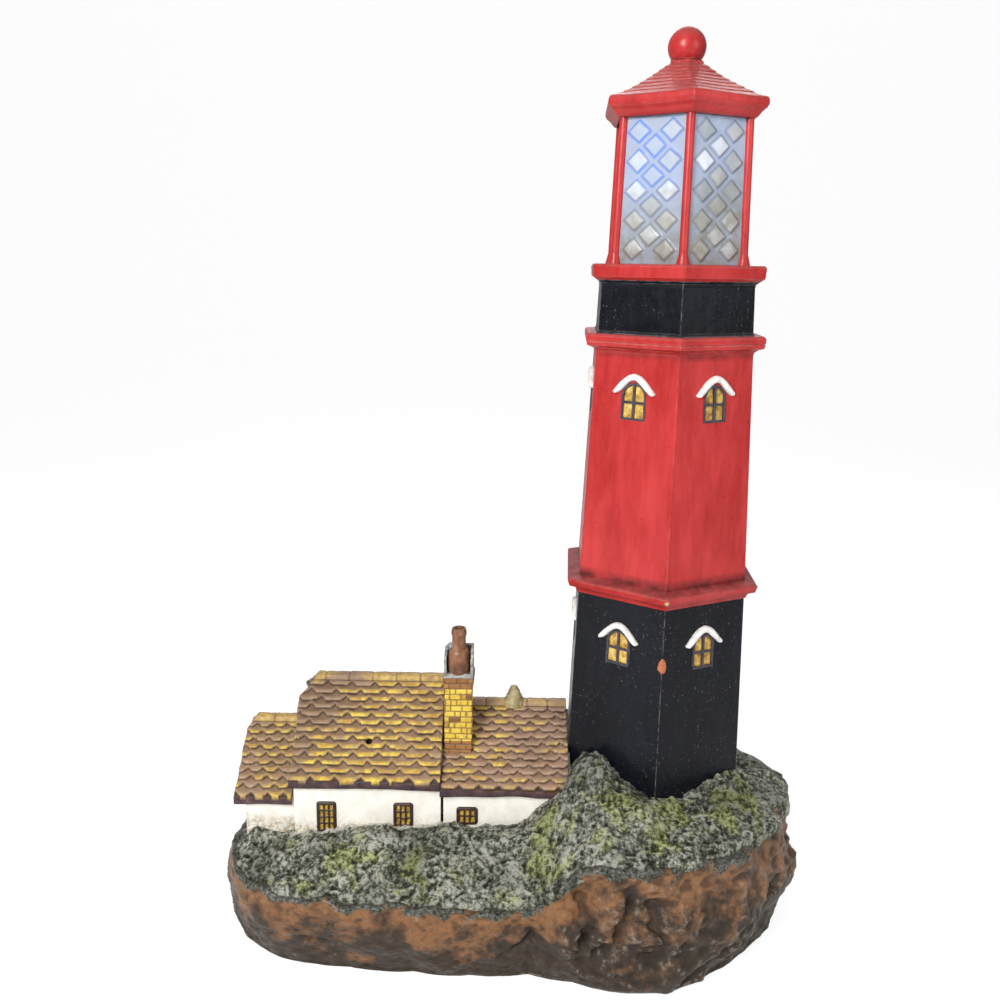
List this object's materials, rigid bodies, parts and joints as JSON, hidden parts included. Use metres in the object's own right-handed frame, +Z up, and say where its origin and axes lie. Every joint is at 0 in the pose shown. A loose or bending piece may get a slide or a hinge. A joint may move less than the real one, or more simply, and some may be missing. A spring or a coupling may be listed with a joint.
{
  "type": "garden lighthouse ornament",
  "caption": "Hexagonal lighthouse beside a low tiled cottage with a chimney, on a planted rock; lamp in the lantern, battery tray underneath.",
  "frame": {"origin": "on the ground, under the middle of the bounding box", "axes": "+Z up, +X along the cottage's ridge towards the tower, -Y the front, which the picture shows"},
  "size_m": [0.258, 0.14, 0.381],
  "materials": {
    "rock": "gloss varnish over brown wash",
    "planting": "satin, dry-brushed",
    "black_paint": "satin paint",
    "red_paint": "gloss paint",
    "lens": "translucent, moulded squares",
    "dark_frame": "satin paint",
    "gold_pane": "satin paint",
    "white_trim": "satin paint",
    "cream_wall": "matt paint",
    "roof_deck": "matt paint",
    "tile": "satin, dry-brushed",
    "board": "satin paint",
    "brick": "matt paint",
    "grey_cap": "matt paint",
    "pot": "matt paint",
    "black_plastic": "moulded",
    "lamp_glass": "frosted",
    "lead": "matt sheath",
    "screw": "zinc plated",
    "rubber": "matt",
    "cell": "wrapped",
    "contact": "nickel plated"
  },
  "bodies": {
    "ornament": {"rock_base": "rock", "planting_bank": "planting", "lower_tower_drum": "black_paint", "middle_ledge": "red_paint", "upper_tower_drum": "red_paint", "gallery_ledge": "red_paint", "watch_room": "black_paint", "lantern_sill": "red_paint", "lantern_lens": "lens", "lantern_posts": "red_paint", "lower_window_frames": "dark_frame", "lower_window_panes": "gold_pane", "lower_window_hoods": "white_trim", "upper_window_frames": "dark_frame", "upper_window_panes": "gold_pane", "upper_window_hoods": "white_trim", "main_walls": "cream_wall", "main_roof": "roof_deck", "main_roof_tiles": "tile", "main_ridge_tiles": "tile", "main_eaves_boards": "board", "wing_walls": "cream_wall", "wing_roof": "roof_deck", "wing_roof_tiles": "tile", "wing_ridge_tiles": "tile", "wing_eaves_boards": "board", "link_walls": "cream_wall", "link_roof": "roof_deck", "link_roof_tiles": "tile", "link_ridge_tiles": "tile", "link_eaves_boards": "board", "cottage_window_frames": "dark_frame", "cottage_window_panes": "gold_pane", "chimney_stack": "brick", "chimney_cap": "grey_cap", "chimney_pot": "pot", "ridge_finial": "pot", "lamp_socket": "black_plastic", "led_lamp": "lamp_glass", "lamp_lead": "lead", "base_plate": "black_plastic", "plate_screws": "screw", "rubber_feet": "rubber", "battery_tray": "black_plastic", "battery_cells": "cell", "battery_contacts": "contact", "battery_springs": "contact", "switch_body": "black_plastic", "switch_lead": "lead"},
    "lantern_cap": {"lantern_roof": "red_paint", "ball_finial": "red_paint"},
    "battery_hatch": {"battery_door": "black_plastic"},
    "slide_knob": {"switch_slider": "black_plastic"}
  },
  "joints": [
    {"name": "roof_lift", "type": "slide", "parent": "ornament", "child": "lantern_cap", "axis": [0, 0, 1], "range_m": [0, 0.06]},
    {"name": "hatch_hinge", "type": "hinge", "parent": "ornament", "child": "battery_hatch", "pos_m": [0.044, 0.0248, 0.004], "axis": [1, 0, 0], "range_deg": [0, 100]},
    {"name": "switch_slide", "type": "slide", "parent": "ornament", "child": "slide_knob", "axis": [1, 0, 0], "range_m": [0, 0.003]}
  ]
}
